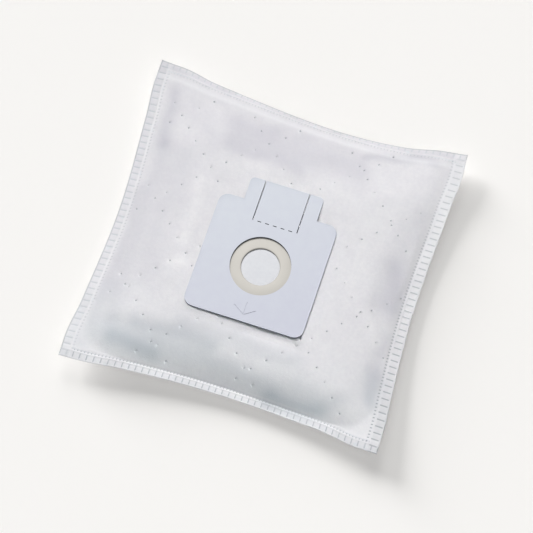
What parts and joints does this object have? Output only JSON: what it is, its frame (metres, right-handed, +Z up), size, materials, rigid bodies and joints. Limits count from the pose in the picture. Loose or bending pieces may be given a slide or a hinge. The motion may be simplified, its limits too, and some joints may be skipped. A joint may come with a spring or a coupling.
{
  "type": "vacuum dust bag",
  "caption": "Square fleece dust bag with a welded ladder seam, and a card collar with a folding tab over a rubber inlet seal.",
  "frame": {"origin": "middle of the bag's bounding box, on the surface that the back panel rests on", "axes": "+Z up, out of the front panel and the inlet; +Y from the inlet to the card's tab; +X along the card's lower edge"},
  "size_m": [0.2872, 0.283, 0.0243],
  "materials": {
    "back_fleece": "matte white spunbond fleece",
    "front_fleece": "matte white spunbond fleece, spot bonded",
    "card": "matte pale blue-grey board",
    "seal_rubber": "matte beige rubber sheet"
  },
  "bodies": {
    "root": {"back_panel": "back_fleece", "front_panel": "front_fleece", "collar_card": "card", "inlet_seal": "seal_rubber"}
  },
  "joints": []
}
